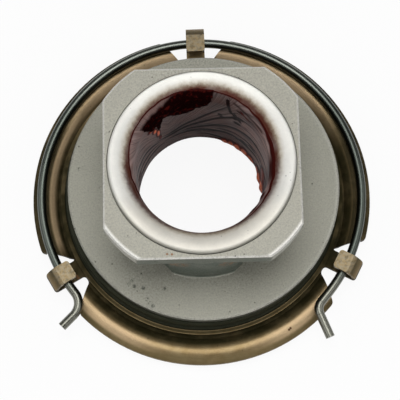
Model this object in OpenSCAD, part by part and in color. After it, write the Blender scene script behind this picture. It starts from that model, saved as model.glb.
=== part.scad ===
// Pull-type clutch release bearing: flared guide sleeve, square fork collar, ball bearing,
// stamped coupling ring with three hooks and an open spring wire.
// Millimetres. The sleeve axis is Z, the rear end of the sleeve stands on Z = 0.

/* [Guide sleeve] */
// Bore that slides on the guide tube
bore_d = 35.1; // [32:0.1:37]
// Wall of the sleeve tube
tube_wall = 2.0; // [1.6:0.1:2.4]
// Radius of the bell mouth at the collar end
mouth_r = 5.9; // [5:0.1:6.5]
// Blunt rim beyond the bell mouth
mouth_rim = 0.5; // [0.3:0.1:0.8]
// Height of the mouth above the collar face
mouth_proud = 0.9; // [0.5:0.1:1.4]
// Radius of the rolled rear end
rear_r = 4.0; // [3:0.1:4.5]
// Flat foot beyond the rolled rear end
rear_foot = 2.0; // [1:0.1:3]

/* [Fork collar] */
// Land of the square flange beside the mouth
square_land = 0.9; // [0.6:0.1:2.5]
// Reach of the turned corners beyond the flats of the square
corner_out = 5.1; // [4:0.1:7]
// Thickness of the square flange
flange_t = 6.0; // [5:0.1:8]
// Depth of the four flats for the fork fingers in the round neck
flat_depth = 2.3; // [1.5:0.1:3]
// Clear height for the fork fingers
fork_gap = 17.6; // [12:0.1:22]
// Width of the thrust disc beyond the neck
disc_out = 11.8; // [10:0.1:11.9]
// Thickness of the thrust disc
disc_t = 3.8; // [3:0.1:5]
// Offset of the forged disc rim from the axis
disc_shift = 0.5; // [0:0.1:0.6]
// Broken edge of flange and disc
edge_break = 0.4; // [0.2:0.1:0.7]
// Fillet between neck and disc
neck_fillet = 0.8; // [0.4:0.1:1.2]
// Gap round the rim of the mouth
mouth_gap = 0.25; // [0.15:0.05:0.4]

/* [Ball bearing] */
// Ball diameter
ball_d = 6.35; // [6:0.05:6.5]
// Number of balls
ball_count = 18; // [14:1:18]
// Distance from the sleeve out to the ball circle
pitch_out = 10.25; // [9.95:0.05:10.65]
// Gap between ball and raceway
race_gap = 0.06; // [0.02:0.01:0.08]
// Height of the inner ring
inner_h = 7.0; // [6.8:0.1:8]
// Radial play of the inner ring round the sleeve
centring_play = 0.75; // [0.5:0.05:1]
// Depth of the low shoulder inside the pitch radius
low_shoulder = 2.4; // [2.2:0.1:2.6]
// Depth of the high shoulder inside the pitch radius
high_shoulder = 1.2; // [1.1:0.1:1.3]
// Gap between the balls and the front shield
ball_clear = 0.325; // [0.3:0.025:0.5]
// Height of the outer ring above the rear end of the sleeve
foot_rise = 0.5; // [0.4:0.05:0.9]
// Distance from the ball circle out to the seat of the coupling ring
seat_out = 8.4; // [8.2:0.1:9]
// Step from the seat to the free wall of the outer ring
seat_step = 0.8; // [0.5:0.1:1.2]
// Width of the foot flange beyond the seat
foot_w = 0.9; // [0.7:0.05:1]
// Thickness of the foot flange
foot_t = 1.1; // [0.9:0.1:1.3]
// Radial thickness of the cage
cage_wall = 1.6; // [1.2:0.1:1.7]
// Base of the cage below the pockets
cage_base = 1.1; // [0.8:0.1:1.2]
// Height of the cage prongs above the ball centres
cage_prong = 1.5; // [1.2:0.1:1.8]
// Gap between ball and pocket
pocket_gap = 0.12; // [0.08:0.02:0.2]

/* [Shields and washers] */
// Sheet of the two shields
shield_t = 0.6; // [0.4:0.1:0.7]
// Depth of the shield seats beyond the raceway
shield_seat = 0.3; // [0.2:0.05:0.5]
// Running gap at the free edge of the shields
shield_gap = 0.6; // [0.4:0.1:0.8]
// Thickness of the thrust washer
washer_t = 1.4; // [1.2:0.1:1.8]
// Setback of the thrust washer from the shoulder of the inner ring
washer_in = 1.1; // [0.8:0.1:2]
// Gap between the turning outer ring and the thrust disc
disc_gap = 0.4; // [0.3:0.05:0.6]
// Sheet of the disc spring
spring_t = 0.8; // [0.5:0.1:0.9]
// Gap between the sleeve and the disc spring
spring_gap = 1.65; // [1.2:0.05:2.4]
// Setback of the disc spring from the edge of the inner ring
spring_in = 1.0; // [0.8:0.1:1.9]
// Contact land of the disc spring
spring_land = 0.6; // [0.4:0.1:0.8]

/* [Coupling ring] */
// Sheet thickness
sheet = 1.1; // [1:0.05:1.2]
// Height of the inner wall
wall_h = 3.9; // [3.5:0.1:4.4]
// Width of the ring from its seat to the outside of the skirt
ring_w = 9.0; // [8.6:0.1:9.3]
// Distance from the outside of the skirt in to the crest of the bead
crest_in = 3.3; // [3.1:0.1:3.6]
// Radius of the bead
bead_r = 4.4; // [4.2:0.05:4.6]
// Height of the bead crest above the foot
bead_h = 3.3; // [3.1:0.05:3.5]
// Direction of the first hook and its window
hook_turn = 91; // [85:0.1:95]
// Angle from the first hook to the two others
hook_step = 119.1; // [118.5:0.1:121.5]
// Angle from the first window to the two others
window_step = 120; // [119:0.1:121]
// Width of the hooks
hook_w = 5.2; // [4.5:0.1:6]
// Reach of the flap inward past the centre line of the wire
flap_reach = 3.2; // [2.6:0.1:3.6]
// Distance from the centre line of the wire out to the fold
fold_out = 0.9; // [0.6:0.1:1.1]
// Gap between the wire and the outer wall of the hook
nose_gap = 1.75; // [1.45:0.05:2.1]
// Bend radius of the heel, where the arm turns up
heel_r = 0.8; // [0.7:0.05:1]
// Corner radius of the nose, seen along the axis
nose_round = 0.6; // [0.4:0.1:0.9]
// Corner radius of the flap
flap_round = 0.9; // [0.5:0.1:1.2]
// Step of the arm below the bead crest
arm_step = 0.8; // [0.6:0.05:1]
// Fillet between the arm and the inner wall
root_round = 0.9; // [0.6:0.1:1.2]
// Longer nose of the first hook
first_longer = 0.8; // [0.5:0.1:1]
// Half width of the window at the inner wall
window_half = 4.6; // [4:0.1:5.2]
// Widening of the window per radial millimetre
window_flare = 0.8; // [0.6:0.05:0.9]
// Corner radius of the window
window_round = 1.4; // [1:0.1:1.6]
// Corner radius at the outer ends of the bead
end_round = 1.2; // [0.8:0.1:1.5]

/* [Retaining wire] */
// Wire diameter
wire_d = 2.5; // [2.2:0.05:2.6]
// Distance from the crest of the bead out to the centre line of the wire
wire_out = 0.6; // [0.3:0.1:0.7]
// Play of the wire over the bead and under the flaps
wire_play = 0.3; // [0.25:0.05:0.4]
// Direction at which the left leg leaves the ring
left_leaves = 217.6; // [216.6:0.1:222]
// Bend radius of the left leg
left_bend = 4.7; // [3:0.1:5.5]
// Bend angle of the left leg
left_angle = 83; // [60:1:90]
// Tail of the left leg
left_tail = 4.4; // [3:0.1:6]
// Direction at which the right leg leaves the ring
right_leaves = 319.6; // [316:0.1:320.6]
// Straight run of the right leg
right_run = 3.1; // [2:0.1:4]
// Bend radius of the right leg
right_bend = 3.2; // [2.6:0.1:4]
// Bend angle of the right leg
right_angle = 62; // [50:1:75]
// Tail of the right leg
right_tail = 7.0; // [5:0.1:8]

/* [Hidden] */
$fn = 96;
tiny = 0.01;
// Guide sleeve
bore_r = bore_d / 2;
tube_r = bore_r + tube_wall;
mouth_c = bore_r + mouth_r;
rim_r = mouth_c + mouth_rim;
rear_c = bore_r + rear_r;
// Fork collar
half = rim_r + mouth_gap + square_land;
corner_r = half + corner_out;
flat_r = half - flat_depth;
disc_r = half + disc_out;
// Heights of the clamped stack, from the rear end up
washer_z = tube_wall;
inner_z = washer_z + washer_t;
ball_z = inner_z + inner_h / 2;
spring_z = inner_z + inner_h;
outer_top = ball_z + ball_d / 2 + ball_clear + shield_t + shield_seat;
disc_z = outer_top + disc_gap;
fork_z = disc_z + disc_t;
flange_z = fork_z + fork_gap;
face_z = flange_z + flange_t;
top_z = face_z + mouth_proud;
// Ball bearing
pitch_r = tube_r + pitch_out;
groove_r = ball_d / 2 + race_gap;
inner_bore_r = tube_r + centring_play;
foot_z = foot_rise;
shield_r = pitch_r + groove_r + shield_seat;
pocket_r = ball_d / 2 + pocket_gap;
washer_r = pitch_r - high_shoulder - washer_in;
spring_bore_r = tube_r + spring_gap;
spring_r = pitch_r - low_shoulder - spring_in;
// Coupling ring
seat_r = pitch_r + seat_out;
foot_r = seat_r + foot_w;
wall_r = seat_r + sheet;
ring_r = seat_r + ring_w;
crest_r = ring_r - crest_in;
ring_z = foot_z + foot_t;
crest_z = ring_z + bead_h;
bead_c = crest_z - bead_r;
arm_z = crest_z - arm_step - sheet / 2;
// Retaining wire
wire_r = crest_r + wire_out;
wire_z = crest_z + wire_play + wire_d / 2;
flap_z = wire_z + wire_d / 2 + wire_play + sheet / 2;
// Hooks over the wire
hook_tip = wire_r - flap_reach;
hook_fold = wire_r + fold_out;
hook_nose = wire_r + wire_d / 2 + nose_gap + sheet;
hook_mid = hook_nose - sheet / 2;
// Nose arc that rises upright from the heel and leans over as far as the fold line
heel_z = arm_z + heel_r;
nose_lean = 90 - 2 * atan((hook_mid - hook_fold) / (flap_z - heel_z));
nose_r = (flap_z - heel_z) / cos(nose_lean);
root_r = wall_r + root_round;
joint_gap = 0.08;
joint_swell = 0.015;

// Name of a ball, counted round from the X axis
function ball_name(i) = str("ball_", i < 10 ? "0" : "", i);

// Points of an arc, used for corners in plan view
function arc(c, r, a, b, n) = [for (i = [0:n])
    [c[0] + r * cos(a + (b - a) * i / n), c[1] + r * sin(a + (b - a) * i / n)]];

// Rectangle between two corners
module box2(a, b) {
  translate(a)
    square([b[0] - a[0], b[1] - a[1]]);
}

// Straight strip of sheet between two points of its middle line
module strip(a, b, t) {
  run = norm(b - a);
  translate(a)
    rotate(atan2(b[1] - a[1], b[0] - a[0]))
      translate([0, -t / 2])
        square([run, t]);
}

// Drawn steel tube, belled at the collar end and rolled outward at the rear end
module guide_sleeve() {
  color("#c9c8c2")
    rotate_extrude() {
      box2([bore_r, rear_r], [tube_r, top_z - mouth_r]);
      intersection() {
        translate([rear_c, rear_r])
          difference() {
            circle(rear_r);
            circle(rear_r - tube_wall);
          }
        box2([bore_r, 0], [rear_c, rear_r]);
      }
      box2([rear_c, 0], [rear_c + rear_foot, tube_wall]);
      intersection() {
        translate([mouth_c, top_z - mouth_r])
          difference() {
            circle(mouth_r);
            circle(mouth_r - tube_wall);
          }
        box2([bore_r, top_z - mouth_r], [mouth_c, top_z]);
      }
      polygon([[mouth_c, top_z - tube_wall], [rim_r - mouth_rim / 2, top_z - tube_wall],
               [rim_r, top_z - tube_wall + mouth_rim], [rim_r, top_z - mouth_rim * 1.2],
               [rim_r - mouth_rim / 2, top_z - mouth_rim / 4], [mouth_c, top_z]]);
    }
}

// Half profile of a plate with broken edges, from the axis out to a radius
module broken_edges(r, low, high) {
  polygon([[0, low], [r - edge_break, low], [r, low + edge_break],
           [r, high - edge_break], [r - edge_break, high], [0, high]]);
}

// Long slab with broken edges, one of the two that cross in the square flange
module flange_slab(turn) {
  rotate([90, 0, turn])
    translate([0, 0, -corner_r])
      linear_extrude(2 * corner_r) {
        broken_edges(half, flange_z, face_z);
        mirror([1, 0, 0])
          broken_edges(half, flange_z, face_z);
      }
}

// Forged steel collar: square flange, necked fork seat and thrust disc in one piece
module fork_collar() {
  color("#908f86")
    difference() {
      union() {
        intersection() {
          rotate_extrude()
            broken_edges(corner_r, flange_z, face_z);
          flange_slab(0);
          flange_slab(90);
        }
        intersection() {
          rotate_extrude()
            difference() {
              box2([0, fork_z - 1], [half + neck_fillet, flange_z + 1]);
              box2([half, fork_z + neck_fillet], [2 * half, flange_z + 2]);
              translate([half + neck_fillet, fork_z + neck_fillet])
                circle(neck_fillet);
            }
          rotate([0, 0, 45])
            translate([-flat_r, -flat_r, disc_z])
              cube([2 * flat_r, 2 * flat_r, flange_z + 1 - disc_z]);
        }
        translate([disc_shift, 0, 0])
          rotate_extrude()
            broken_edges(disc_r, disc_z, fork_z);
      }
      rotate_extrude() {
        difference() {
          box2([0, disc_z - 1], [mouth_c, top_z - tube_wall]);
          box2([tube_r, disc_z - 2], [mouth_c + 1, top_z - mouth_r]);
          translate([mouth_c, top_z - mouth_r])
            circle(mouth_r - tube_wall);
        }
        box2([0, top_z - tube_wall], [rim_r + mouth_gap, face_z + 1]);
      }
    }
}

// Hardened washer between the rolled rear end and the inner ring
module thrust_washer() {
  color("#77756d")
    rotate_extrude()
      box2([rear_c + 0.05, washer_z], [washer_r, inner_z]);
}

// Standing ring of the bearing, with its high shoulder to the rear
module inner_ring() {
  color("#8b8b88")
    rotate_extrude()
      difference() {
        polygon([[inner_bore_r + edge_break, inner_z], [pitch_r - high_shoulder, inner_z],
                 [pitch_r - high_shoulder, ball_z], [pitch_r - low_shoulder, ball_z],
                 [pitch_r - low_shoulder, spring_z], [inner_bore_r + edge_break, spring_z],
                 [inner_bore_r, spring_z - edge_break], [inner_bore_r, inner_z + edge_break]]);
        translate([pitch_r, ball_z])
          circle(groove_r);
      }
}

// Conical spring that presses the inner ring away from the collar
module disc_spring() {
  color("#5c5a52")
    rotate_extrude()
      polygon([[spring_bore_r, disc_z - spring_t], [spring_r - spring_land, spring_z],
               [spring_r, spring_z], [spring_r, spring_z + spring_t],
               [spring_bore_r + spring_land, disc_z], [spring_bore_r, disc_z]]);
}

// Turning ring of the bearing, with a foot flange that pulls the coupling ring
module outer_ring() {
  color("#6f6a5c")
    rotate_extrude()
      difference() {
        polygon([[shield_r, foot_z], [foot_r, foot_z], [foot_r, ring_z], [seat_r, ring_z],
                 [seat_r, ring_z + wall_h - edge_break], [seat_r - seat_step, ring_z + wall_h],
                 [seat_r - seat_step, outer_top - edge_break], [seat_r - seat_step - edge_break, outer_top],
                 [shield_r, outer_top], [shield_r, outer_top - shield_t - shield_seat],
                 [pitch_r + high_shoulder, outer_top - shield_t - shield_seat],
                 [pitch_r + high_shoulder, ball_z], [pitch_r + low_shoulder, ball_z],
                 [pitch_r + low_shoulder, ring_z], [shield_r, ring_z]]);
        translate([pitch_r, ball_z])
          circle(groove_r);
      }
}

// Pressed shield on the collar side, seated in the outer ring
module front_shield() {
  color("#4d4a42")
    rotate_extrude()
      box2([pitch_r - low_shoulder + shield_gap, outer_top - shield_t - shield_seat],
           [shield_r, outer_top - shield_seat]);
}

// Pressed shield on the rear side, seated in the outer ring
module rear_shield() {
  color("#4d4a42")
    rotate_extrude()
      box2([washer_r + shield_gap, ring_z - shield_t], [shield_r, ring_z]);
}

// Half outline of a window between hook and bead, from the inner wall out past the skirt
function window_side() =
    let (c = [wall_r + window_round, window_half - window_round],
         e = bead_end(ring_r, 6),
         out = atan2(e[1], e[0]))
    concat(arc(c, window_round, 180, 90 + atan(window_flare), 8),
           arc(e, end_round, atan2(-1, window_flare), out, 8),
           [e + (end_round + 3) * [cos(out), sin(out)]]);

// Centre of the rounded outer corner of a bead end, found by a few steps of substitution
function bead_end(x, n) =
    let (slope = norm([1, window_flare]),
         y = window_half + (x - wall_r + end_round * window_flare / slope) * window_flare
             + end_round / slope)
    n == 0 ? [x, y] : bead_end(sqrt(pow(ring_r - end_round, 2) - y * y), n - 1);

// Window seen along the axis, with its hook on X
module window2() {
  side = window_side();
  n = len(side);
  polygon(concat(side, [for (i = [n - 1:-1:0]) [side[i][0], -side[i][1]]]));
}

// Strip of sheet bent round a centre, from one angle to another less than a half turn on
module bent_strip(c, r, a, b, t) {
  translate(c)
    intersection() {
      difference() {
        circle(r + t / 2);
        circle(r - t / 2);
      }
      polygon([[0, 0], 3 * r * [cos(a), sin(a)],
               3 * r * [cos((a + b) / 2), sin((a + b) / 2)], 3 * r * [cos(b), sin(b)]]);
    }
}

// Waste outside a rounded corner that points along X and Y
module corner_waste(r, h) {
  difference() {
    translate([-r, -r, 0])
      cube([r + 1, r + 1, h]);
    translate([-r, -r, -1])
      cylinder(r = r, h = h + 2);
  }
}

// One hook: arm under the wire, round nose and flap folded back over the wire
module hook(longer) {
  difference() {
    translate([0, hook_w / 2, 0])
      rotate([90, 0, 0])
        linear_extrude(hook_w) {
          strip([seat_r + sheet / 2, arm_z], [hook_mid + longer - heel_r + tiny, arm_z], sheet);
          translate([longer, 0]) {
            bent_strip([hook_mid - heel_r, heel_z], heel_r, -90, 0.5, sheet);
            bent_strip([hook_mid - nose_r, heel_z], nose_r, 0, 90 - nose_lean, sheet);
            translate([hook_fold, flap_z])
              circle(sheet / 2);
          }
          strip([hook_fold + longer, flap_z], [hook_tip, flap_z], sheet);
        }
    for (side = [0, 1])
      mirror([0, side, 0]) {
        translate([hook_nose + longer, hook_w / 2, arm_z - sheet])
          corner_waste(nose_round, flap_z - arm_z + 2 * sheet);
        translate([hook_tip, hook_w / 2, flap_z - sheet])
          mirror([1, 0, 0])
            corner_waste(flap_round, 2 * sheet);
      }
  }
  for (side = [0, 1])
    mirror([0, side, 0])
      arm_fillet();
}

// Fillet on one side of an arm, where it leaves the inner wall
module arm_fillet() {
  difference() {
    translate([seat_r + sheet / 2, hook_w / 2 - tiny, arm_z - sheet / 2])
      cube([root_r - seat_r - sheet / 2, root_round + tiny, sheet]);
    translate([root_r, hook_w / 2 + root_round, arm_z - sheet])
      cylinder(r = root_round, h = 2 * sheet);
  }
}

// Stamped ring with an upright inner wall, a rounded bead and three hooks
module coupling_ring() {
  color("#8f7a55")
    union() {
      difference() {
        rotate_extrude() {
          box2([seat_r, ring_z], [wall_r, ring_z + wall_h]);
          box2([wall_r - tiny, ring_z], [crest_r - bead_r * 0.72, ring_z + sheet]);
          intersection() {
            translate([crest_r, bead_c])
              difference() {
                circle(bead_r);
                circle(bead_r - sheet);
              }
            box2([wall_r, ring_z], [ring_r, crest_z + 1]);
          }
          box2([ring_r - sheet, ring_z], [ring_r, bead_c + bead_r * 0.5]);
        }
        for (i = [-1:1])
          rotate([0, 0, hook_turn + i * window_step])
            translate([0, 0, ring_z - 1])
              linear_extrude(bead_h + 3)
                window2();
      }
      for (i = [-1:1])
        rotate([0, 0, hook_turn + i * hook_step])
          hook(i == 0 ? first_longer : 0);
    }
}

// Crown cage with one open pocket for every ball
module ball_cage() {
  color("#6b5b3a")
    difference() {
      rotate_extrude()
        box2([pitch_r - cage_wall / 2, ball_z - pocket_r - cage_base],
             [pitch_r + cage_wall / 2, ball_z + cage_prong]);
      for (i = [0:ball_count - 1])
        rotate([0, 0, i * 360 / ball_count])
          translate([pitch_r - cage_wall, 0, ball_z])
            rotate([0, 90, 0])
              cylinder(r = pocket_r, h = 2 * cage_wall);
    }
}

// One bearing ball in its pocket
module ball(i) {
  color("#b9b9b6")
    rotate([0, 0, (i - 1) * 360 / ball_count])
      translate([pitch_r, 0, ball_z])
        sphere(d = ball_d);
}

// Round bar that starts at the origin and runs along X, short of both ends by the joint gap
module bar(run) {
  translate([joint_gap, 0, 0])
    rotate([0, 90, 0])
      cylinder(d = wire_d, h = run - 2 * joint_gap);
}

// Bent round bar about Z that starts on X, short of both ends by the joint gap
module bend(r, angle) {
  cut = joint_gap / r * 180 / PI;
  rotate([0, 0, cut])
    rotate_extrude(angle = angle - 2 * cut)
      translate([r, 0])
        circle(d = wire_d);
}

// Knuckle that joins two runs of the wire
module knuckle() {
  sphere(d = wire_d + 2 * joint_swell);
}

// Open ring of spring wire with two bent legs
module retaining_wire() {
  color("#4c534d")
    translate([0, 0, wire_z]) {
      rotate([0, 0, right_leaves - 360])
        bend(wire_r, left_leaves - right_leaves + 360);
      rotate([0, 0, left_leaves])
        translate([wire_r, 0, 0]) {
          knuckle();
          translate([left_bend, 0, 0])
            rotate([0, 0, 180 - left_angle]) {
              bend(left_bend, left_angle);
              translate([left_bend, 0, 0]) {
                knuckle();
                rotate([0, 0, -90])
                  bar(left_tail);
              }
            }
        }
      rotate([0, 0, right_leaves])
        translate([wire_r, 0, 0])
          rotate([0, 0, -90]) {
            knuckle();
            bar(right_run);
            translate([right_run, 0, 0])
              knuckle();
            translate([right_run, right_bend, 0]) {
              rotate([0, 0, -90])
                bend(right_bend, right_angle);
              rotate([0, 0, right_angle - 90])
                translate([right_bend, 0, 0]) {
                  knuckle();
                  rotate([0, 0, 90])
                    bar(right_tail);
                }
            }
          }
    }
}

guide_sleeve();
fork_collar();
thrust_washer();
inner_ring();
disc_spring();
outer_ring();
front_shield();
rear_shield();
coupling_ring();
ball_cage();
for (i = [1:ball_count])
  ball(i);
retaining_wire();
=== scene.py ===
# Looks of the clutch release bearing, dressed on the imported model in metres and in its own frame.
import math
import bpy
import numpy as np
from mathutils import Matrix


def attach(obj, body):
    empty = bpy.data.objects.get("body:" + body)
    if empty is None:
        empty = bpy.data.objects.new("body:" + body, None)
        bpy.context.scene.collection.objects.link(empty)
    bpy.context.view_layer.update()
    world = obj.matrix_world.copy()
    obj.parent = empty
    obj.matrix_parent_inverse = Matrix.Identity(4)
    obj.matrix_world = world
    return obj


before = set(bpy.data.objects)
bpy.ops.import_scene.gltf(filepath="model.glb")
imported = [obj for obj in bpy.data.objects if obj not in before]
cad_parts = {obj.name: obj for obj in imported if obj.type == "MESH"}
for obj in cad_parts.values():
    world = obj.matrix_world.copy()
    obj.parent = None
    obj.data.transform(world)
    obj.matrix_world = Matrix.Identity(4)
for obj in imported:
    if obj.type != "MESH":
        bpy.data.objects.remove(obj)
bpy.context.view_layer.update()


# Guide sleeve
# A drawn steel tube, belled out over the collar at one end and rolled outward at the other.
# The mouth is burnished bright, and grease has stained it brown where it runs down into the bore.
def put(tree, kind, options=None, **inputs):
    piece = tree.nodes.new(kind)
    for name, value in (options or {}).items():
        setattr(piece, name, value)
    for name, value in inputs.items():
        feed(tree, piece.inputs[name.replace("_", " ")], value)
    return piece


def feed(tree, socket, value):
    if isinstance(value, bpy.types.NodeSocket):
        tree.links.new(value, socket)
    else:
        socket.default_value = value


def maths(tree, operation, first, *others):
    result = first
    for other in others:
        piece = put(tree, "ShaderNodeMath", {"operation": operation})
        feed(tree, piece.inputs[0], result)
        feed(tree, piece.inputs[1], other)
        result = piece.outputs[0]
    return result


def total(tree, *values):
    return maths(tree, "ADD", *values)


def both(tree, *masks):
    return maths(tree, "MULTIPLY", *masks)


def either(tree, *masks):
    return maths(tree, "MAXIMUM", *masks)


def size_of(tree, value):
    piece = put(tree, "ShaderNodeMath", {"operation": "ABSOLUTE"})
    feed(tree, piece.inputs[0], value)
    return piece.outputs[0]


def ease(tree, value, low, high, start=0.0, end=1.0):
    piece = put(tree, "ShaderNodeMapRange", {"interpolation_type": "SMOOTHSTEP"}, Value=value,
                From_Min=low, From_Max=high, To_Min=start, To_Max=end)
    return piece.outputs[0]


def tint(tree, factor, a, b, way="MIX"):
    piece = put(tree, "ShaderNodeMix", {"data_type": "RGBA", "blend_type": way})
    feed(tree, piece.inputs[0], factor)
    feed(tree, piece.inputs[6], a)
    feed(tree, piece.inputs[7], b)
    return piece.outputs[2]


def brighten(tree, color, level):
    gain = put(tree, "ShaderNodeCombineXYZ", X=level, Y=level, Z=level).outputs[0]
    return tint(tree, 1.0, color, gain, "MULTIPLY")


def cloud(tree, spot, scale, detail=4.0, rough=0.55):
    return put(tree, "ShaderNodeTexNoise", Vector=spot, Scale=scale, Detail=detail,
               Roughness=rough).outputs[0]


def millimetres(tree):
    spot = put(tree, "ShaderNodeTexCoord").outputs["Object"]
    scaled = put(tree, "ShaderNodeVectorMath", {"operation": "SCALE"}, Vector=spot, Scale=1000.0)
    parts = put(tree, "ShaderNodeSeparateXYZ", Vector=scaled.outputs[0])
    x, y, z = parts.outputs
    flat = put(tree, "ShaderNodeCombineXYZ", X=x, Y=y)
    radius = put(tree, "ShaderNodeVectorMath", {"operation": "LENGTH"}, Vector=flat.outputs[0])
    return scaled.outputs[0], x, y, z, radius.outputs["Value"]


def spots(tree, spot, centres, size):
    masks = []
    for centre in centres:
        near = put(tree, "ShaderNodeVectorMath", {"operation": "DISTANCE"})
        feed(tree, near.inputs[0], spot)
        near.inputs[1].default_value = centre
        masks.append(ease(tree, near.outputs["Value"], size, size * 0.35))
    return either(tree, *masks)


# Worn metal, shared by the steel pieces and the moulded cage: grain, clouding, turning lines and pits
pit_color = (0.03, 0.027, 0.022, 1)
worn_metal = bpy.data.node_groups.new("worn_metal", "ShaderNodeTree")
for socket_name, kind, start in (
        ("Metal Color", "NodeSocketColor", (0.5, 0.5, 0.5, 1)),
        ("Grime Color", "NodeSocketColor", (0.05, 0.04, 0.03, 1)),
        ("Grime", "NodeSocketFloat", 0.0),
        ("Edge Color", "NodeSocketColor", (0.8, 0.8, 0.78, 1)),
        ("Edge", "NodeSocketFloat", 0.0),
        ("Grain", "NodeSocketFloat", 4.0),
        ("Speckle", "NodeSocketFloat", 0.2),
        ("Turning", "NodeSocketFloat", 0.0),
        ("Pits", "NodeSocketFloat", 0.3),
        ("Roughness", "NodeSocketFloat", 0.4)):
    made = worn_metal.interface.new_socket(socket_name, in_out="INPUT", socket_type=kind)
    made.default_value = start
for socket_name, kind in (("Base Color", "NodeSocketColor"), ("Roughness", "NodeSocketFloat"),
                          ("Bump Height", "NodeSocketFloat")):
    worn_metal.interface.new_socket(socket_name, in_out="OUTPUT", socket_type=kind)
given = put(worn_metal, "NodeGroupInput").outputs
spot, _, _, z, radius = millimetres(worn_metal)
grain = cloud(worn_metal, spot, given["Grain"], 5.0, 0.7)
broad = cloud(worn_metal, spot, 0.16, 4.0, 0.6)
ring_spot = put(worn_metal, "ShaderNodeCombineXYZ", X=radius, Y=z).outputs[0]
lines = cloud(worn_metal, ring_spot, 7.0, 3.0, 0.7)
cells = put(worn_metal, "ShaderNodeTexVoronoi", Vector=spot, Scale=0.9)
chance = put(worn_metal, "ShaderNodeSeparateColor", Color=cells.outputs["Color"]).outputs[0]
pit_size = ease(worn_metal, chance, 0.86, 1.0, 0.0, 0.2)
pit = both(worn_metal, maths(worn_metal, "LESS_THAN", cells.outputs["Distance"], pit_size), given["Pits"])
grain_shift = both(worn_metal, maths(worn_metal, "SUBTRACT", grain, 0.5), given["Speckle"])
broad_shift = ease(worn_metal, broad, 0.3, 0.7, -0.06, 0.06)
line_shift = both(worn_metal, maths(worn_metal, "SUBTRACT", lines, 0.5), given["Turning"])
shift = total(worn_metal, grain_shift, broad_shift, line_shift)
color = brighten(worn_metal, given["Metal Color"], total(worn_metal, shift, 1.0))
edge = both(worn_metal, given["Edge"], ease(worn_metal, grain, 0.3, 0.55, 0.45, 1.0))
color = tint(worn_metal, edge, color, given["Edge Color"])
grime = both(worn_metal, given["Grime"], ease(worn_metal, broad, 0.25, 0.6, 0.75, 1.0))
color = tint(worn_metal, grime, color, given["Grime Color"])
color = tint(worn_metal, pit, color, pit_color)
rough = total(worn_metal, given["Roughness"], both(worn_metal, shift, 0.45))
rough = maths(worn_metal, "SUBTRACT", rough, both(worn_metal, edge, 0.12))
rough = total(worn_metal, rough, both(worn_metal, pit, 0.3))
height = total(worn_metal, both(worn_metal, grain, given["Speckle"]),
               both(worn_metal, lines, given["Turning"]))
height = maths(worn_metal, "SUBTRACT", height, pit)
put(worn_metal, "NodeGroupOutput", Base_Color=color, Roughness=rough, Bump_Height=height)


def metal(name, metallic, bump, **inputs):
    material = bpy.data.materials.new(name)
    material.use_nodes = True
    tree = material.node_tree
    shader = tree.nodes["Principled BSDF"]
    shader.inputs["Metallic"].default_value = metallic
    worn = put(tree, "ShaderNodeGroup", {"node_tree": worn_metal}, **inputs)
    relief = put(tree, "ShaderNodeBump", Height=worn.outputs["Bump Height"], Strength=bump,
                 Distance=0.00012)
    feed(tree, shader.inputs["Base Color"], worn.outputs["Base Color"])
    feed(tree, shader.inputs["Roughness"], worn.outputs["Roughness"])
    feed(tree, shader.inputs["Normal"], relief.outputs[0])
    return material, tree, worn


def dress(material, *names):
    for name in names:
        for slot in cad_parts[name].material_slots:
            slot.material = material


steel_aside = (0.83, 0.82, 0.772, 1)
steel_far, steel_near = (0.94, 0.93, 0.875, 1), (0.90, 0.865, 0.775, 1)
smear_brown, smear_tan = (0.31, 0.225, 0.10, 1), (0.47, 0.36, 0.215, 1)
seam_shade_gray, dried_red = (0.17, 0.17, 0.14, 1), (0.10, 0.028, 0.016, 1)
stain_span, red_span = (21.5, 18.8), (20.5, 18.9)
seam_shade_span, seam_shade_tone_span = (22.9, 23.9), (22.0, 22.8)
mouth_span, rear_span = (30.0, 33.0), (5.0, 3.0)
far_span, near_span, front_span = (10.0, 22.0), (-6.0, -16.0), (-4.0, -14.0)
speck_places = ((-0.6, 20.6, 39.5), (-0.3, 20.6, 39.5))
sleeve_finish, tree, worn = metal("sleeve_burnished", 0.35, 0.10, Grain=2.4, Speckle=0.12, Turning=0.10,
                                  Pits=0.3, Roughness=0.56)
spot, x, y, z, radius = millimetres(tree)
# Painted light: the bright steel of the mouth is coloured lighter at the far side and warmer at the near
# side than at its sides.
burnished_with_painted_light = tint(tree, ease(tree, y, *far_span), steel_aside, steel_far)
burnished_with_painted_light = tint(tree, ease(tree, y, *near_span), burnished_with_painted_light, steel_near)
lopsided = total(tree, both(tree, y, -0.037), ease(tree, y, 0.0, -18.0, 0.0, 0.5))
ragged = ease(tree, cloud(tree, spot, 0.8, 4.0, 0.6), 0.25, 0.75, -0.22, 0.22)
creep = total(tree, radius, lopsided, ragged)
in_mouth = ease(tree, z, *mouth_span)
at_rear = ease(tree, z, *rear_span, 0.0, 0.35)
stain = both(tree, ease(tree, creep, *stain_span), either(tree, in_mouth, 0.8))
stain = either(tree, stain, at_rear)
speck = spots(tree, spot, speck_places, 0.3)
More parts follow.
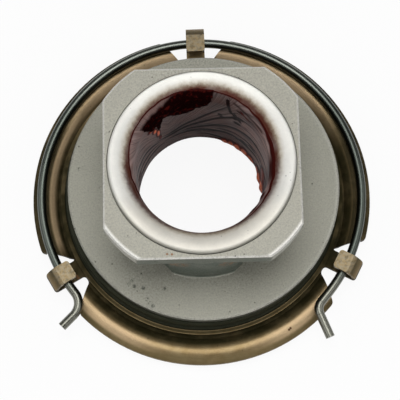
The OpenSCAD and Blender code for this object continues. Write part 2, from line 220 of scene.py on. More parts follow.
# Painted shade: a grey band round the outer edge of the lip where it curls down onto the collar, strongest
# at the front.
seam_shade = both(tree, ease(tree, radius, *seam_shade_span), ease(tree, y, 8.0, -16.0, 0.05, 0.75))
feed(tree, worn.inputs["Grime"], either(tree, stain, speck, seam_shade))
near_ends = both(tree, ease(tree, size_of(tree, x), 5.0, 13.0, 0.0, 0.9), ease(tree, y, 2.0, -6.0))
red_edge = ease(tree, maths(tree, "SUBTRACT", creep, near_ends), *red_span)
smear = tint(tree, ease(tree, y, *front_span), smear_brown, smear_tan)
smear = tint(tree, ease(tree, radius, *seam_shade_tone_span), smear, seam_shade_gray)
stain_color = tint(tree, either(tree, red_edge, speck), smear, dried_red)
feed(tree, worn.inputs["Grime Color"], stain_color)
covered = ease(tree, stain, 0.4, 0.95, 0.0, 0.4)
feed(tree, worn.inputs["Metal Color"], tint(tree, covered, burnished_with_painted_light, stain_color))
tree.nodes["Principled BSDF"].inputs["Specular IOR Level"].default_value = 0.2
dress(sleeve_finish, "guide_sleeve")


# Thrust washer and disc spring
# Hardened washers on the sleeve: one passes the pull of the rolled end to the inner ring, and the
# conical one presses that ring away from the collar. Punched, hardened and left oily.
washer_finish, tree, worn = metal("washer_oiled", 1.0, 0.15, Metal_Color=(0.42, 0.41, 0.38, 1),
                                  Grain=2.5, Speckle=0.25, Turning=0.2, Pits=0.3, Roughness=0.42)
dress(washer_finish, "thrust_washer", "disc_spring")


# Bearing rings
# Turned and ground rings of bearing steel. The outer one turns with the coupling ring, and its
# upper wall shows in the gap beside the thrust disc. Both are coloured near-black, as oil and as
# painted shade in that gap.
ring_finish, tree, worn = metal("bearing_ring_oil_and_shade", 0.1, 0.12, Metal_Color=(0.040, 0.041, 0.027, 1),
                                Grime_Color=(0.016, 0.018, 0.010, 1), Grain=2.2, Speckle=0.2,
                                Turning=0.35, Pits=0.15, Roughness=0.42)
spot = millimetres(tree)[0]
feed(tree, worn.inputs["Grime"], ease(tree, cloud(tree, spot, 0.3, 3.0), 0.3, 0.7, 0.35, 0.75))
tree.nodes["Principled BSDF"].inputs["Specular IOR Level"].default_value = 0.03
dress(ring_finish, "inner_ring", "outer_ring")


# Balls and cage
# Eighteen lapped steel balls snapped into a moulded crown cage that keeps them apart.
# The cage is plain brown plastic and is carried round between the two rings by the balls.
ball_finish, tree, worn = metal("ball_lapped", 1.0, 0.02, Metal_Color=(0.74, 0.74, 0.73, 1),
                                Grain=6.0, Speckle=0.05, Pits=0.0, Roughness=0.12)
balls = [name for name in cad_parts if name.startswith("ball_") and name != "ball_cage"]
dress(ball_finish, *balls)
cage_finish, tree, worn = metal("cage_moulded", 0.0, 0.2, Metal_Color=(0.30, 0.23, 0.12, 1),
                                Grain=9.0, Speckle=0.18, Pits=0.0, Roughness=0.5)
dress(cage_finish, "ball_cage")


# Shields
# Two thin washers pressed from sheet steel that keep the grease of the bearing in.
# Each is seated in the outer ring, and oil has clouded it.
shield_finish, tree, worn = metal("shield_pressed", 1.0, 0.12, Metal_Color=(0.30, 0.29, 0.26, 1),
                                  Grime_Color=(0.05, 0.042, 0.03, 1), Grain=3.0, Speckle=0.2,
                                  Turning=0.15, Pits=0.2, Roughness=0.4)
spot = millimetres(tree)[0]
feed(tree, worn.inputs["Grime"], ease(tree, cloud(tree, spot, 0.25, 3.0), 0.35, 0.7, 0.1, 0.6))
dress(shield_finish, "front_shield", "rear_shield")


# Fork collar
# One forging: thrust disc, necked seat for the clutch fork and square flange with turned corners.
# Tumbled to a dull grey, with small pits, a few rust dots and edges that handling has polished; the front
# corners carry painted highlight.
# The neck under the flange and the flange's side faces are darkened as painted shade, with rust where the
# fork rubs.
disc_gray, flange_gray = (0.31, 0.305, 0.255, 1), (0.38, 0.37, 0.315, 1)
neck_shade_green = (0.085, 0.105, 0.085, 1)
rust_brown, pit_black = (0.24, 0.12, 0.055, 1), (0.024, 0.025, 0.017, 1)
disc_r, disc_top = 36.9, 15.5
flange_half, corner_r, flange_low, flange_top = 25.1, 30.2, 33.1, 39.1
dot_places = ((-9.2, -23.8, 39.1), (-8.0, -23.9, 39.1))
neck_places = ((-7.2, -24.0, 29.0), (-9.5, -24.0, 27.0), (6.9, -24.1, 28.6))
pit_places = ((-33.2, 5.4, disc_top), (-20.0, -26.5, disc_top), (-19.2, -25.7, disc_top),
              (-18.6, -27.4, disc_top), (-16.2, -27.9, disc_top), (-15.3, -30.9, disc_top),
              (-14.5, -32.0, disc_top), (-13.7, -32.8, disc_top), (-10.6, -28.2, disc_top))
collar_finish, tree, worn = metal("collar_tumbled", 0.5, 0.22, Edge_Color=(0.85, 0.84, 0.80, 1),
                                  Grain=2.0, Speckle=2.2, Pits=0.75, Roughness=0.52)
spot, x, y, z, radius = millimetres(tree)
across = either(tree, size_of(tree, x), size_of(tree, y))
on_flange = ease(tree, z, flange_top - 0.9, flange_top - 0.2)
feed(tree, worn.inputs["Metal Color"], tint(tree, on_flange, disc_gray, flange_gray))
# Painted highlight: the turned corners at the front and the turned corner faces are lightened, on top of
# the polished edges all round.
front_corner_highlight = both(tree, ease(tree, radius, corner_r - 1.3, corner_r - 0.6), ease(tree, y, -10.0, -16.0))
polished_edge_and_highlight = either(tree, ease(tree, across, flange_half - 0.6, flange_half - 0.15), front_corner_highlight,
                     ease(tree, radius, corner_r - 0.65, corner_r - 0.2))
polished_edge_and_highlight = both(tree, polished_edge_and_highlight, ease(tree, z, flange_top - 0.7, flange_top - 0.3, 0.0, 0.7))
corner_face_highlight = both(tree, ease(tree, radius, corner_r - 0.3, corner_r - 0.1),
                   ease(tree, z, flange_low - 0.1, flange_low + 0.3, 0.0, 0.2))
disc_edge = both(tree, ease(tree, radius, disc_r - 0.8, disc_r - 0.1),
                 ease(tree, z, disc_top - 0.6, disc_top - 0.3),
                 ease(tree, z, disc_top + 1.5, disc_top + 0.5), 0.12)
feed(tree, worn.inputs["Edge"], either(tree, polished_edge_and_highlight, corner_face_highlight, disc_edge))
rust_dots = spots(tree, spot, dot_places, 0.42)
neck_rust = both(tree, spots(tree, spot, neck_places, 4.5),
                 ease(tree, cloud(tree, spot, 0.7, 5.0, 0.65), 0.44, 0.62))
pitted = both(tree, spots(tree, spot, pit_places, 0.75),
              ease(tree, cloud(tree, spot, 1.6, 3.0), 0.44, 0.56))
on_rim = both(tree, ease(tree, radius, disc_r - 1.3, disc_r - 0.7),
              ease(tree, z, disc_top - 0.3, disc_top - 0.6, 0.0, 0.9))
# Painted shade: the neck under the flange and the flange's side faces are darkened to a dark green-grey.
neck_shade = both(tree, ease(tree, z, disc_top + 0.04, disc_top + 0.25),
               ease(tree, z, flange_low - 0.1, flange_low - 0.5, 0.0, 0.95))
side_shade = both(tree, ease(tree, across, flange_half - 0.4, flange_half - 0.1),
               ease(tree, z, flange_top - 0.4, flange_top - 0.7, 0.0, 0.8),
               ease(tree, z, flange_low - 0.2, flange_low + 0.1))
rust = either(tree, rust_dots, both(tree, neck_rust, 0.8), both(tree, pitted, 0.85))
feed(tree, worn.inputs["Grime"], either(tree, rust, on_rim, neck_shade, side_shade))
rust_and_shade_color = tint(tree, either(tree, neck_rust, on_flange), neck_shade_green, rust_brown)
feed(tree, worn.inputs["Grime Color"], tint(tree, either(tree, pitted, on_rim), rust_and_shade_color, pit_black))
dress(collar_finish, "fork_collar")


# Coupling ring
# Stamped sheet steel, pressed onto the seat of the outer ring: upright wall, rounded bead and three
# hooks folded back over the wire. Yellow passivated zinc, rubbed on the flaps. The valley and the hook
# noses are darkened as oil and painted shade, the outer roll and the bead beside the wire as painted
# shade, and patches of the bead are lightened as painted highlight.
def band(tree, value, start, full, fade, end):
    return both(tree, ease(tree, value, start, full), ease(tree, value, end, fade))


zinc_dark, zinc_pale = (0.27, 0.192, 0.092, 1), (0.34, 0.255, 0.135, 1)
zinc_highlight_tan = (0.60, 0.44, 0.262, 1)
oil_and_shade_black = (0.014, 0.014, 0.005, 1)
oil_and_shade_near, oil_and_shade_aside = (0.080, 0.063, 0.028, 1), (0.030, 0.026, 0.013, 1)
dot_red, arm_red = (0.085, 0.030, 0.012, 1), (0.17, 0.07, 0.028, 1)
bead_rust_places = ((23.3, -38.0, 4.9), (22.9, -38.4, 4.9))
arm_rust_places = ((-34.5, -22.6, 4.1), (-35.0, -22.1, 4.1))
ring_span, flap_span, nose_span, wall_top_span = (6.5, 5.6), (7.2, 8.6), (5.6, 6.5), (5.2, 5.45)
inner_rim, outer_rim, wall_span = (38.55, 38.3), (38.95, 39.2), (39.5, 39.35)
valley_span, wire_span = (43.6, 41.4), (41.6, 42.5)
outside_span, roll_span = (42.4, 43.2), (44.5, 45.9)
lower_band, far_band = (42.4, 43.8, 45.4, 46.4), (39.8, 41.0, 42.4, 43.6)
left_band = (40.4, 41.4, 42.2, 42.9)
zinc_finish, tree, worn = metal("ring_yellow_zinc", 0.9, 0.2, Edge_Color=(0.25, 0.215, 0.15, 1),
                                Grain=1.6, Speckle=0.45, Turning=0.10, Pits=0.35, Roughness=0.42)
spot, x, y, z, radius = millimetres(tree)
mottle = cloud(tree, spot, 0.35, 4.0, 0.6)
aside = size_of(tree, x)
side = ease(tree, aside, 28.0, 40.0)
far = ease(tree, y, 8.0, 25.0)
on_ring = ease(tree, z, *ring_span)
on_flap = ease(tree, z, *flap_span)
on_nose = both(tree, ease(tree, z, *nose_span), ease(tree, radius, 48.9, 46.8, 0.3, 0.75),
               ease(tree, radius, 46.2, 46.7))
# Painted highlight: patches of the bead at its lower ends, on its far slope and on its left slope are
# lightened to a pale tan.
lower_ends_highlight = both(tree, ease(tree, aside, 8.0, 24.0, 0.0, 0.85), ease(tree, y, -22.0, -28.0),
                  band(tree, radius, *lower_band))
far_slope_highlight = both(tree, ease(tree, y, 10.0, 32.0), ease(tree, aside, 4.3, 5.6),
                 band(tree, radius, *far_band))
left_slope_highlight = both(tree, ease(tree, x, -28.0, -36.0), ease(tree, y, -18.0, -12.0),
                  band(tree, radius, *left_band))
bead_painted_highlight = both(tree, either(tree, lower_ends_highlight, far_slope_highlight, left_slope_highlight), on_ring)
zinc = tint(tree, ease(tree, mottle, 0.35, 0.7), zinc_dark, zinc_pale)
feed(tree, worn.inputs["Metal Color"], tint(tree, bead_painted_highlight, zinc, zinc_highlight_tan))
# Painted shade over oil: the valley is darkened, less at the far side; the outer roll is darkened as
# shade; the bead beside and beyond the wire is darkened as the wire's shadow.
valley_oil_and_shade = both(tree, ease(tree, radius, *valley_span), ease(tree, y, 36.0, 8.0, 0.3, 1.0), 0.95)
roll_shade = both(tree, ease(tree, radius, *roll_span), ease(tree, y, -40.0, -24.0, 0.75, 1.05), 0.92)
wire_shadow_beside = both(tree, ease(tree, radius, *wire_span), side, 0.9)
wire_shadow_beyond = both(tree, ease(tree, radius, *outside_span), far, 0.85)
# The painted shade is lifted at the front from the top of the upright wall, so its rims stay pale.
wall_rims = either(tree, ease(tree, radius, *inner_rim), ease(tree, radius, *outer_rim))
wall_top_unshaded = both(tree, either(tree, both(tree, wall_rims, 0.55), 0.12), ease(tree, z, *wall_top_span),
                 ease(tree, radius, *wall_span), ease(tree, y, -18.0, -34.0))
oil_and_shade = both(tree, either(tree, valley_oil_and_shade, roll_shade, wire_shadow_beside, wire_shadow_beyond), on_ring,
           maths(tree, "SUBTRACT", 1.0, both(tree, bead_painted_highlight, 0.85)),
           maths(tree, "SUBTRACT", 1.0, wall_top_unshaded))
flap_specks = both(tree, on_flap, ease(tree, cloud(tree, spot, 0.9, 5.0, 0.7), 0.44, 0.68, 0.0, 0.5))
# The nose of each hook is darkened towards the fold, as mottled oil and painted shade.
nose_oil_and_shade = both(tree, on_nose, ease(tree, mottle, 0.3, 0.6, 0.7, 1.0))
oil_and_shade = either(tree, oil_and_shade, flap_specks, nose_oil_and_shade)
bead_rust = spots(tree, spot, bead_rust_places, 0.5)
arm_rust = spots(tree, spot, arm_rust_places, 0.55)
feed(tree, worn.inputs["Grime"], either(tree, oil_and_shade, bead_rust, arm_rust))
# Colours for the oil and the painted shade: near-black in the valley, dark brown-olive beside and beyond
# the wire.
oil_and_shade_outside = tint(tree, either(tree, side, far), oil_and_shade_near, oil_and_shade_aside)
oil_and_shade_color = tint(tree, ease(tree, radius, 41.5, 44.0), oil_and_shade_black, oil_and_shade_outside)
oil_and_shade_color = tint(tree, arm_rust, oil_and_shade_color, arm_red)
feed(tree, worn.inputs["Grime Color"], tint(tree, bead_rust, oil_and_shade_color, dot_red))
rubbed = ease(tree, cloud(tree, spot, 1.1, 4.0, 0.65), 0.36, 0.62, 0.25, 1.0)
feed(tree, worn.inputs["Edge"], both(tree, on_flap, rubbed))
dull = either(tree, both(tree, on_flap, 0.5), both(tree, bead_painted_highlight, 0.6), oil_and_shade)
shader = tree.nodes["Principled BSDF"]
feed(tree, shader.inputs["Metallic"], both(tree, maths(tree, "SUBTRACT", 1.0, dull), 0.9))
shader.inputs["Specular IOR Level"].default_value = 0.01
dress(zinc_finish, "coupling_ring")


# Retaining wire
# One open ring of hard-drawn spring wire with two bent legs, slid round under the three hooks.
# Dark and oily, with the fine lines of the drawing die along it.
wire_left, wire_right = (0.095, 0.107, 0.093, 1), (0.075, 0.085, 0.074, 1)
wire_far, wire_legs = (0.16, 0.172, 0.152, 1), (0.20, 0.20, 0.168, 1)
across_span, back_span, leg_span = (-15.0, 30.0), (22.0, 38.0), (-22.0, -29.0)
wire_finish, tree, worn = metal("wire_drawn", 1.0, 0.1, Grain=2.0, Speckle=0.15, Turning=0.3,
                                Pits=0.15, Roughness=0.30)
_, x, y, _, _ = millimetres(tree)
# Painted light: the round part is coloured lighter on the left and at the far side and darker on the
# right, standing in for how the lamps fall on it; the legs are coloured lighter and warmer.
round_part_painted_light = tint(tree, ease(tree, x, *across_span), wire_left, wire_right)
round_part_painted_light = tint(tree, ease(tree, y, *back_span), round_part_painted_light, wire_far)
feed(tree, worn.inputs["Metal Color"], tint(tree, ease(tree, y, *leg_span), round_part_painted_light, wire_legs))
dress(wire_finish, "retaining_wire")


# Grease in the bore
# A film of dark red grease, wiped round the bore when the sleeve was packed. It has tracks in it,
# a thick clump under the mouth and thin red lumps at the rear edge that let the light through.
bore_r, mouth_r, mouth_z = 17.55, 5.9, 34.1
rear_r, rear_z = 4.0, 4.0
turns = np.linspace(0.0, 360.0, 360, endpoint=False)
rear_arc = [("rear", angle) for angle in np.linspace(55.0, 8.0, 6)]
wall_run = [("wall", level) for level in np.linspace(rear_z, mouth_z, 78)]
mouth_arc = [("mouth", angle) for angle in np.linspace(2.5, 62.0, 24)]
profile = []
for part, at in rear_arc + wall_run + mouth_arc:
    if part == "wall":
        profile.append((bore_r, at, -1.0, 0.0))
        continue
    lean = math.radians(at)
    swing = mouth_r if part == "mouth" else rear_r
    up = 1.0 if part == "mouth" else -1.0
    base_z = mouth_z if part == "mouth" else rear_z
    profile.append((bore_r + swing - swing * math.cos(lean), base_z + up * swing * math.sin(lean),
                    -math.cos(lean), up * math.sin(lean)))
profile = np.array(profile)
turn, height = np.meshgrid(turns, profile[:, 1])
wall_radius = np.repeat(profile[:, :1], len(turns), axis=1)
lot = np.random.default_rng(11)


def apart(turn_at):
    return (turn - turn_at + 180.0) % 360.0 - 180.0


def heap(turn_at, z_at, turn_reach, z_reach):
    return np.exp(-(apart(turn_at) / turn_reach) ** 2 - ((height - z_at) / z_reach) ** 2)


def ridge(away, reach):
    return np.exp(-(away / reach) ** 2)


def swell(low, high, value):
    part = np.clip((value - low) / (high - low), 0.0, 1.0)
    return part * part * (3.0 - 2.0 * part)


def ripple(count, short, long):
    waves = np.zeros_like(turn)
    for _ in range(count):
        around = lot.integers(int(360.0 / long / 3.3), int(360.0 / short / 3.3) + 2)
        along = lot.uniform(-1.0, 1.0) * 2.0 * math.pi / lot.uniform(short, long)
        waves += np.sin(np.radians(turn) * around + height * along + lot.uniform(0.0, 6.3))
    return waves / math.sqrt(count)


def streak(turns_along, heights_along, z_reach):
    first, last, end = turns_along[0], turns_along[-1], 3.0
    ends = swell(first - end, first + end, turn) * swell(last + end, last - end, turn)
    return ends * ridge(height - np.interp(turn, turns_along, heights_along), z_reach)


film_thick, film_wave = 0.14, 0.03
fine_tracks, clump_lumps = 46, 70
finest, bold_width = 0.45, 0.8
bold_depth, crease_depth, dab_depth, streak_depth = 0.07, 0.10, 0.08, 0.04
film = film_thick + film_wave * ripple(8, 5.0, 14.0)
fan_turn = (0.0, 40.0, 57.0, 72.0, 82.0, 94.5, 114.0, 120.0, 128.0, 137.0, 147.6, 165.0, 182.0, 360.0)
fan_rise = (26.0, 26.0, 23.0, 15.0, 10.0, 5.6, 1.3, 0.8, 2.0, 5.5, 9.0, 13.0, 16.0, 26.0)
spacing = (3.0 + np.interp(turn, fan_turn, fan_rise)) / 22.0
sweep = (height - 10.0) / spacing + 0.3 * ripple(6, 12.0, 30.0)
# This field marks the grooves and tracks, darkened as painted shade, and the dark smears; it goes below
# zero on the raised banks, which get a painted highlight.
groove_shade_and_smear = np.zeros_like(turn)
for _ in range(fine_tracks):
    line_at = lot.uniform(-8.0, 30.0)
    width = lot.uniform(0.25, 0.5)
    depth = lot.uniform(0.04, 0.13)
    middle, spread = lot.uniform(0.0, 360.0), lot.uniform(25.0, 70.0)
    shown = swell(spread, spread * 0.5, np.abs(apart(middle)))
    wide = np.maximum(width, finest / spacing)
    shown = shown * width / wide
    cut = ridge(sweep - line_at, wide)
    bank = ridge(sweep - line_at - 2.0 * wide, 1.2 * wide)
    film += shown * depth * (0.8 * bank - cut)
    groove_shade_and_smear += shown * (cut - 0.6 * bank) * depth / 0.10
for line_at, middle, spread in (
        (-5.0, 45.0, 60.0), (1.5, 70.0, 70.0), (8.0, 60.0, 65.0), (16.0, 85.0, 60.0),
        (25.0, 95.0, 40.0), (4.0, 165.0, 45.0), (11.0, 168.0, 50.0), (-3.0, 165.0, 50.0)):
    shown = swell(spread, spread * 0.4, np.abs(apart(middle)))
    bold = shown * ridge((sweep - line_at) * spacing, bold_width)
    film -= bold_depth * bold
    groove_shade_and_smear = np.maximum(groove_shade_and_smear, 1.2 * bold)
crease_turn = np.interp(height, (28.0, 30.6, 37.4), (56.5, 62.7, 67.2))
crease = ridge(turn - crease_turn, 1.6) * swell(27.0, 29.0, height) * swell(18.6, 18.2, wall_radius)
film -= crease_depth * crease
groove_shade_and_smear = np.maximum(groove_shade_and_smear, 1.3 * crease)
for turn_at, z_at, turn_reach, z_reach in (
        (70.3, 24.3, 2.6, 1.0), (72.5, 26.0, 2.2, 0.9), (58.5, 27.6, 3.4, 1.3), (53.0, 29.5, 4.0, 1.3),
        (56.0, 24.5, 4.0, 1.1), (54.5, 11.6, 4.0, 0.8), (47.0, 12.7, 5.5, 0.9), (36.0, 14.2, 5.5, 0.7)):
    dab = heap(turn_at, z_at, turn_reach, z_reach)
    film -= dab_depth * dab
    groove_shade_and_smear = np.maximum(groove_shade_and_smear, 1.2 * dab)
groove_shade_and_smear = np.maximum(groove_shade_and_smear, 0.42 * heap(46.0, 34.5, 14.0, 3.2))
for turns_along, heights_along, z_reach, strength in (
        ((26.0, 44.0, 63.0), (35.8, 35.6, 36.9), 0.60, 0.62),
        ((30.0, 45.0, 58.0), (34.3, 33.9, 34.6), 0.50, 0.8),
        ((34.0, 50.0, 60.0), (37.6, 38.1, 38.2), 0.40, 0.7),
        ((52.0, 60.0), (27.0, 30.5), 1.6, 1.2)):
    mark = streak(turns_along, heights_along, z_reach)
    film -= streak_depth * strength * mark
    groove_shade_and_smear = np.maximum(groove_shade_and_smear, strength * mark)
clump_turn = (78.0, 80.5, 84.0, 92.0, 100.0, 108.0, 114.0, 121.0, 125.0, 128.0, 130.5, 133.0, 140.6,
              147.0, 151.0)
clump_edge = (40.0, 36.0, 32.0, 30.1, 27.2, 27.3, 28.6, 31.0, 30.6, 25.0, 24.5, 29.0, 30.5, 35.0, 40.0)
clump_low = np.interp(turn, clump_turn, clump_edge) + 0.35 * ripple(5, 1.5, 4.0)
clump_high = np.interp(turn, (110.0, 122.0, 150.0), (19.9, 18.9, 18.6)) + 0.1 * ripple(5, 2.0, 5.0)
below_high = swell(clump_high, clump_high - 0.5, wall_radius)
clump = swell(clump_low - 0.2, clump_low + 0.8, height) * below_high
clump_dark = swell(clump_low - 0.9, clump_low - 0.2, height) * below_high
lumpy = np.zeros_like(turn)
for _ in range(clump_lumps):
    lump = lot.uniform(0.3, 1.0) * heap(lot.uniform(80.0, 150.0), lot.uniform(26.0, 38.0),
                                        lot.uniform(2.5, 6.0), lot.uniform(0.7, 1.7))
    lumpy = np.maximum(lumpy, lump)
film += clump * (0.18 + 0.4 * lumpy)
red = 0.34 * clump * swell(0.72, 0.95, lumpy)
for turn_at, z_at, turn_reach, z_reach, thick, glow in (
        (139.0, 29.6, 3.5, 1.4, 0.6, 0.75), (135.0, 26.0, 2.2, 1.6, 0.5, 0.9),
        (131.0, 22.0, 1.8, 2.6, 0.45, 1.0), (129.0, 17.0, 1.2, 1.8, 0.3, 0.6),
        (112.0, 30.5, 4.5, 1.2, 0.4, 0.5), (122.0, 33.5, 3.5, 1.2, 0.4, 0.4),
        (16.0, 4.4, 5.5, 3.6, 1.15, 1.0), (6.0, 5.0, 5.5, 5.5, 1.05, 1.0),
        (-6.0, 5.5, 5.0, 4.0, 0.6, 0.5), (11.0, 12.0, 7.0, 4.0, 0.5, 0.62),
        (24.0, 4.8, 4.0, 2.6, 0.35, 0.8), (36.0, 4.4, 6.0, 2.6, 0.25, 0.8),
        (45.0, 4.6, 5.0, 2.8, 0.25, 0.9), (53.0, 4.4, 4.0, 2.6, 0.45, 1.0),
        (60.0, 4.2, 4.0, 2.2, 0.35, 0.9), (66.5, 4.0, 3.5, 2.0, 0.40, 0.9),
        (75.0, 3.6, 6.0, 0.9, 0.10, 0.45), (150.0, 4.2, 12.0, 0.8, 0.06, 0.3),
        (166.0, 8.0, 5.0, 6.0, 0.06, 0.3), (-29.0, 34.6, 5.0, 1.8, 0.55, 0.3),
        (-44.0, 35.0, 7.0, 1.7, 0.50, 0.3), (-95.0, 35.4, 8.0, 1.0, 0.12, 0.3)):
    heaped = heap(turn_at, z_at, turn_reach, z_reach)
    film += thick * heaped * (1.0 + 0.10 * ripple(3, 2.5, 6.0))
    red = np.maximum(red, glow * np.minimum(1.0, 1.5 * heaped))
red = np.maximum(red, 0.45 * streak((43.0, 54.0), (33.2, 35.2), 0.5))
brim_turn = (0.0, 45.0, 68.0, 90.0, 112.0, 135.0, 158.0, 180.0, 205.0, 240.0, 262.0, 285.0, 310.0,
             340.0, 360.0)
brim_at = (19.0, 19.15, 19.5, 19.75, 19.9, 19.75, 19.6, 18.9, 18.1, 17.9, 17.9, 17.95, 18.7, 19.05, 19.0)
brim = np.interp(turn, brim_turn, brim_at) + 0.06 * ripple(9, 3.0, 12.0)
rim = swell(brim, brim - 0.7, np.where(height > mouth_z, wall_radius, 0.0))
tail = swell(1.0, 2.8, height + 0.25 * ripple(7, 2.0, 8.0))
border = 0.7 + 0.8 * ridge(apart(4.0), 26.0)
on_border = swell(brim - border, brim - 0.5 * border, wall_radius) * (height > mouth_z)
low_right = ridge(apart(-6.0), 16.0)
red = np.maximum(red, np.maximum(0.26 * low_right, 0.30 * on_border))
red = np.maximum(red, 0.24 * swell(6.0, 3.6, height + 0.5 * ripple(6, 3.0, 9.0)))
near_side = swell(-0.2, -0.8, np.sin(np.radians(turn))) * swell(30.0, 34.0, height)
thinnest, sunk, back = 0.05, 0.07, -0.16
film = np.maximum(film, thinnest) * (1.0 - 0.6 * near_side)
inside = np.minimum(rim, tail)
film = film * inside - sunk * (1.0 - inside)


def skin(thickness):
    out = wall_radius + profile[:, 2:3] * thickness
    lift = height + profile[:, 3:4] * thickness
    angle = np.radians(turn)
    return np.stack((out * np.cos(angle), out * np.sin(angle), lift), axis=-1).reshape(-1, 3) * 0.001


rows, columns = turn.shape
corners = np.concatenate((skin(film), skin(np.full_like(film, back))))
last_row, behind = (rows - 1) * columns, rows * columns
faces = []
for row in range(rows - 1):
    for column in range(columns):
        following = (column + 1) % columns
        quad = [row * columns + column, (row + 1) * columns + column,
                (row + 1) * columns + following, row * columns + following]
        faces.append(quad)
        faces.append([index + behind for index in reversed(quad)])
for column in range(columns):
    following = (column + 1) % columns
    faces.append([column, following, following + behind, column + behind])
    faces.append([last_row + following, last_row + column,
                  last_row + column + behind, last_row + following + behind])
grease_mesh = bpy.data.meshes.new("bore_grease")
grease_mesh.from_pydata(corners.tolist(), [], faces)
grease_mesh.polygons.foreach_set("use_smooth", [True] * len(grease_mesh.polygons))
for name, field in (("redness", red), ("groove_shade_and_smear", groove_shade_and_smear), ("clump", clump_dark), ("sweep", sweep)):
    layer = grease_mesh.attributes.new(name, "FLOAT", "POINT")
    layer.data.foreach_set("value", np.concatenate((field.ravel(), field.ravel())).astype(np.float32))
grease_mesh.update()
grease = bpy.data.objects.new("bore_grease", grease_mesh)
bpy.context.scene.collection.objects.link(grease)
film_dark, film_pale = (0.062, 0.045, 0.044, 1), (0.165, 0.122, 0.114, 1)
film_brown, line_pale = (0.140, 0.072, 0.060, 1), (0.34, 0.245, 0.215, 1)
line_dark, shade_and_smear_dark = (0.012, 0.007, 0.007, 1), (0.012, 0.006, 0.006, 1)
clump_black, clump_red = (0.007, 0.001, 0.001, 1), (0.090, 0.008, 0.006, 1)
red_deep, red_dark, red_lit = (0.040, 0.006, 0.005, 1), (0.15, 0.018, 0.011, 1), (1.0, 0.27, 0.15, 1)
grease_finish = bpy.data.materials.new("grease_dark_red")
grease_finish.use_nodes = True
tree = grease_finish.node_tree
shader = tree.nodes["Principled BSDF"]
spot, x, y, z, _ = millimetres(tree)
redness, shade_and_smear_value, clumped, swept = [
    put(tree, "ShaderNodeAttribute", {"attribute_name": name}).outputs["Fac"]
    for name in ("redness", "groove_shade_and_smear", "clump", "sweep")]
along = put(tree, "ShaderNodeCombineXYZ", X=swept, Y=both(tree, x, 0.09), Z=both(tree, y, 0.09)).outputs[0]
streaky = cloud(tree, along, 1.5, 4.0, 0.6)
drawn = cloud(tree, along, 0.62, 2.0, 0.5)
patchy = cloud(tree, spot, 0.22, 3.0, 0.5)
lumps = cloud(tree, spot, 0.7, 4.0, 0.65)
smooth_top = ease(tree, z, 34.0, 27.0, 0.1, 1.0)
off_line = size_of(tree, maths(tree, "SUBTRACT", drawn, 0.5))
fine_line = both(tree, ease(tree, off_line, 0.030, 0.008), smooth_top, 0.65)
pale_line = both(tree, band(tree, drawn, 0.53, 0.56, 0.59, 0.64), smooth_top, 0.4)
# Painted highlight: the raised banks beside the grooves are lightened.
pale_line = either(tree, pale_line, ease(tree, shade_and_smear_value, -0.2, -0.7, 0.0, 0.7))
color = tint(tree, ease(tree, streaky, 0.32, 0.68), film_dark, film_pale)
color = tint(tree, ease(tree, patchy, 0.35, 0.65, 0.0, 0.45), color, film_brown)
# Painted light: the film is coloured lighter towards the sides of the bore and darker at the top of the
# far wall.
lit_aside = ease(tree, size_of(tree, x), 5.0, 15.0, 1.2, 2.4)
far_top = both(tree, ease(tree, z, 24.0, 33.0, 0.0, 0.35), ease(tree, y, 4.0, 12.0))
color = brighten(tree, color, both(tree, lit_aside, maths(tree, "SUBTRACT", 1.0, far_top)))
color = tint(tree, pale_line, color, line_pale)
color = tint(tree, fine_line, color, line_dark)
# Painted shade: the grooves and the dark smears are darkened towards near-black.
color = tint(tree, ease(tree, shade_and_smear_value, 0.15, 0.8), color, shade_and_smear_dark)
clump_color = tint(tree, ease(tree, lumps, 0.52, 0.75), clump_black, clump_red)
color = tint(tree, clumped, color, clump_color)
broken = both(tree, clumped, ease(tree, lumps, 0.58, 0.44))
redness = both(tree, redness, maths(tree, "SUBTRACT", 1.0, broken))
color = tint(tree, ease(tree, redness, 0.05, 0.26), color, red_deep)
color = tint(tree, ease(tree, redness, 0.26, 0.55), color, red_dark)
# Painted light: the brightest red stands in for light shining through the thin lumps.
color = tint(tree, ease(tree, redness, 0.55, 0.95), color, red_lit)
feed(tree, shader.inputs["Base Color"], color)
shader.inputs["Specular IOR Level"].default_value = 0.005
feed(tree, shader.inputs["Roughness"], either(tree, ease(tree, streaky, 0.3, 0.7, 0.30, 0.45), clumped))
relief_height = total(tree, streaky, both(tree, lumps, clumped, 4.0))
relief = put(tree, "ShaderNodeBump", Height=relief_height, Strength=0.25, Distance=0.0002)
feed(tree, shader.inputs["Normal"], relief.outputs[0])
grease_mesh.materials.append(grease_finish)
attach(grease, "sleeve")


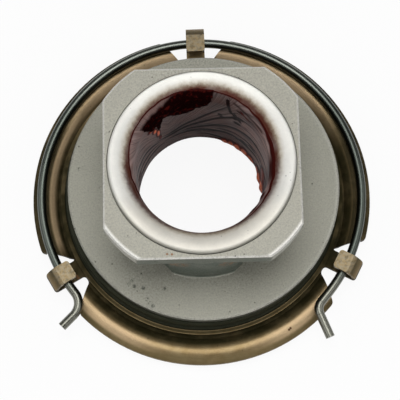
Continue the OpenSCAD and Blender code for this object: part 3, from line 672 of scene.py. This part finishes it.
# Floor, light and camera
# A pale sheet under the part, a soft light overhead, one on each side and a wide one in front.
# The camera stands at the angle of the picture.
floor_reach, floor_gap = 1.6, 0.0001
floor_mesh = bpy.data.meshes.new("floor_sheet")
floor_mesh.from_pydata([(-floor_reach, -floor_reach, 0), (floor_reach, -floor_reach, 0),
                        (floor_reach, floor_reach, 0), (-floor_reach, floor_reach, 0)],
                       [], [(0, 1, 2, 3)])
floor = bpy.data.objects.new("floor_sheet", floor_mesh)
floor.location.z = -floor_gap
bpy.context.scene.collection.objects.link(floor)
floor_finish = bpy.data.materials.new("floor_white")
floor_finish.use_nodes = True
tree = floor_finish.node_tree
shader = tree.nodes["Principled BSDF"]
shader.inputs["Base Color"].default_value = (0.92, 0.92, 0.92, 1)
shader.inputs["Roughness"].default_value = 0.9
shader.inputs["Specular IOR Level"].default_value = 0.0
glow = put(tree, "ShaderNodeEmission", Strength=1.0)
path = put(tree, "ShaderNodeLightPath").outputs
seen = either(tree, path["Is Camera Ray"], path["Is Glossy Ray"], path["Is Transmission Ray"])
mixed = put(tree, "ShaderNodeMixShader")
feed(tree, mixed.inputs[0], both(tree, seen, 0.92))
feed(tree, mixed.inputs[1], shader.outputs[0])
feed(tree, mixed.inputs[2], glow.outputs[0])
feed(tree, tree.nodes["Material Output"].inputs["Surface"], mixed.outputs[0])
floor_mesh.materials.append(floor_finish)

world = bpy.data.worlds.new("studio")
world.use_nodes = True
world.node_tree.nodes["Background"].inputs["Color"].default_value = (0.16, 0.16, 0.16, 1)
world.node_tree.nodes["Background"].inputs["Strength"].default_value = 1.0
bpy.context.scene.world = world


def softbox(name, place, aim, width, length, power):
    light = bpy.data.lights.new(name, "AREA")
    light.shape = "RECTANGLE"
    light.size = width
    light.size_y = length
    light.energy = power
    lamp = bpy.data.objects.new(name, light)
    lamp.location = place
    away = [a - b for a, b in zip(place, aim)]
    flat = math.hypot(away[0], away[1])
    lamp.rotation_euler = (math.atan2(flat, away[2]), 0, math.atan2(away[0], -away[1]))
    bpy.context.scene.collection.objects.link(lamp)


part_middle = (0, 0, 0.02)
softbox("light_top", (0.0, 0.11, 0.72), part_middle, 0.45, 0.36, 1.95)
softbox("light_left", (-0.60, 0.0, 0.50), part_middle, 0.60, 0.50, 1.3)
softbox("light_right", (0.60, 0.0, 0.50), part_middle, 0.60, 0.50, 1.1)
softbox("light_front", (0.0, -0.62, 0.42), part_middle, 1.10, 0.40, 2.2)

picture_tilt, picture_turn = math.radians(14.29), math.radians(-1.35)
lens = bpy.data.cameras.new("camera")
lens.sensor_width = 36.0
lens.lens = 112.5
camera = bpy.data.objects.new("camera", lens)
camera.location = (-0.002525, -0.08760, 0.34333)
camera.rotation_euler = (picture_tilt, 0, picture_turn)
bpy.context.scene.collection.objects.link(camera)
bpy.context.scene.camera = camera
bpy.context.scene.view_settings.view_transform = "Standard"
